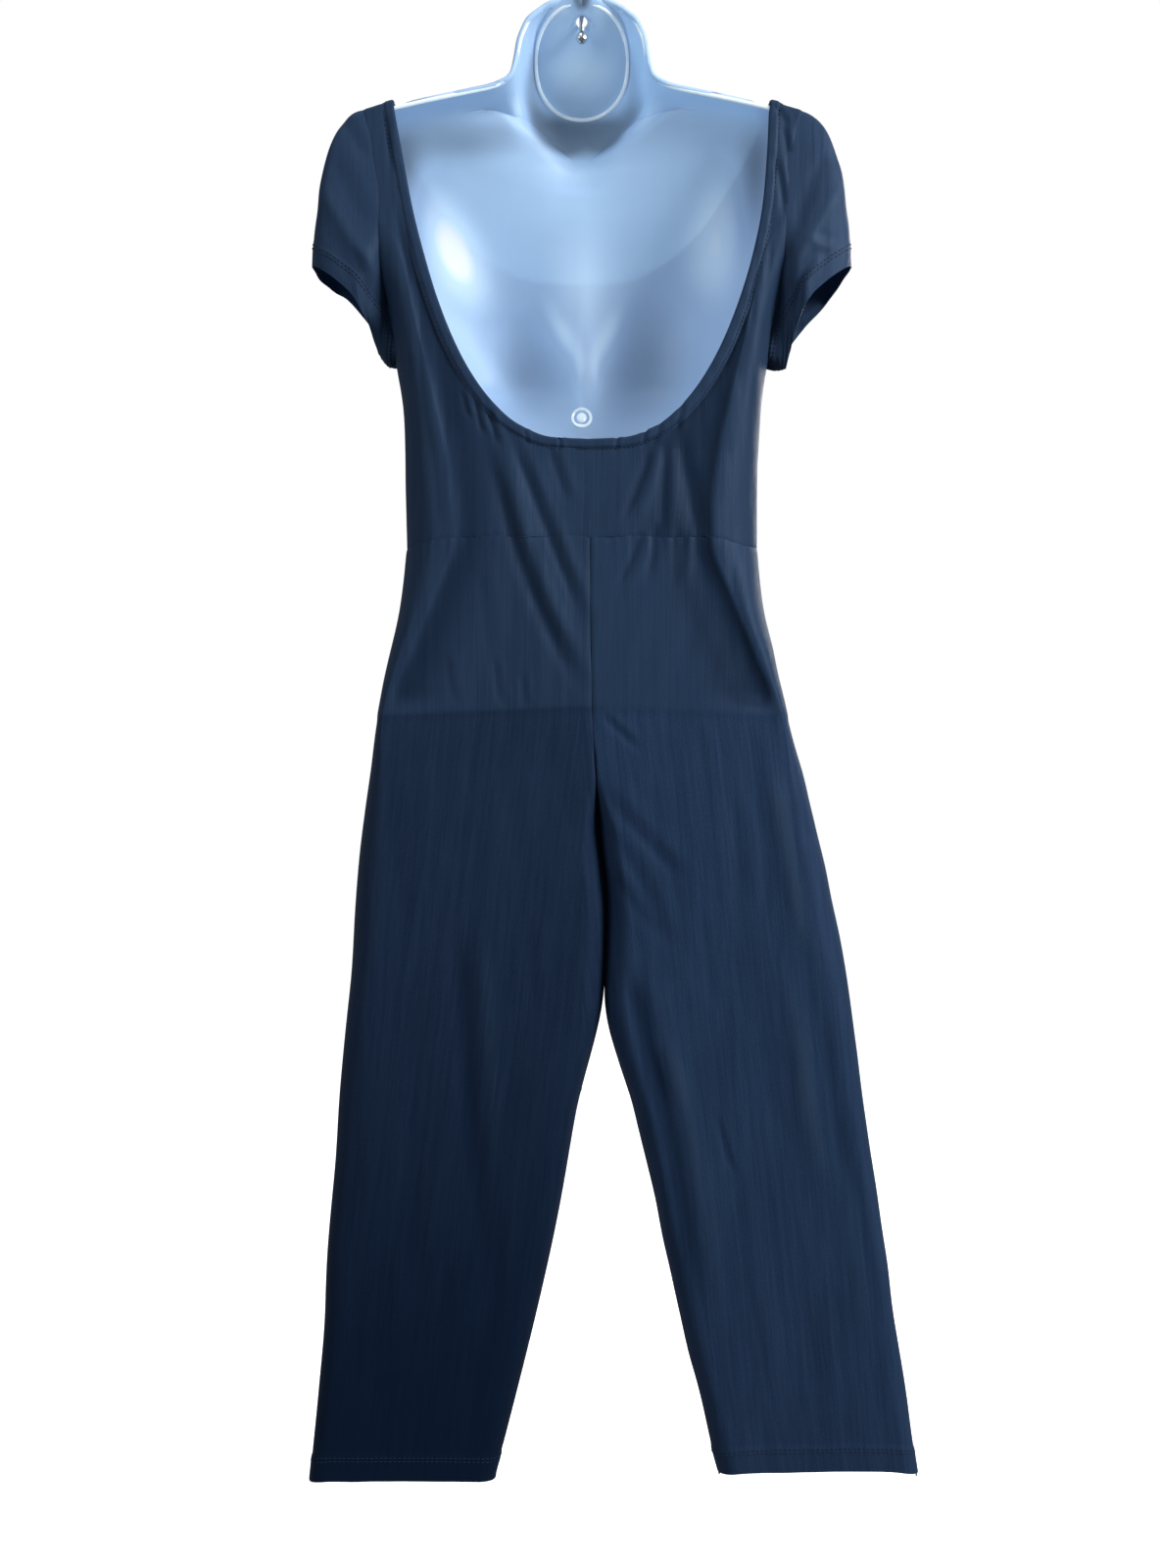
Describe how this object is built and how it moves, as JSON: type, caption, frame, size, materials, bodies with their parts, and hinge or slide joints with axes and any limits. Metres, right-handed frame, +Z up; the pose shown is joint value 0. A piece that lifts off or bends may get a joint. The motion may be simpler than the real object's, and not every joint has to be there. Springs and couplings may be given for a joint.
{
  "type": "jumpsuit on a hanging torso form",
  "caption": "Cap-sleeved stretch-knit jumpsuit with a deep scooped back and cropped legs, on a hollow-back hanging torso form.",
  "frame": {"origin": "inside top of the hanging hook, where a rail or peg carries it", "axes": "+Z up, +Y towards the garment's back, which is the side on show, +X towards the wearer's left"},
  "size_m": [0.5445, 0.1305, 1.3562],
  "materials": {
    "knit": "navy polyester-elastane jersey with a slight sheen",
    "plastic": "smooth, pale blue, slightly see-through",
    "steel": "bright plated wire"
  },
  "bodies": {
    "root": {"back_bodice": "knit", "front_bodice": "knit", "neck_binding": "knit", "sleeve_left": "knit", "sleeve_right": "knit", "back_leg_left": "knit", "back_leg_right": "knit", "front_leg_left": "knit", "front_leg_right": "knit", "form_body": "plastic", "form_shoulder_left": "plastic", "form_shoulder_right": "plastic", "form_neck": "plastic", "hanging_hook": "steel", "hook_nut": "steel"}
  },
  "joints": []
}
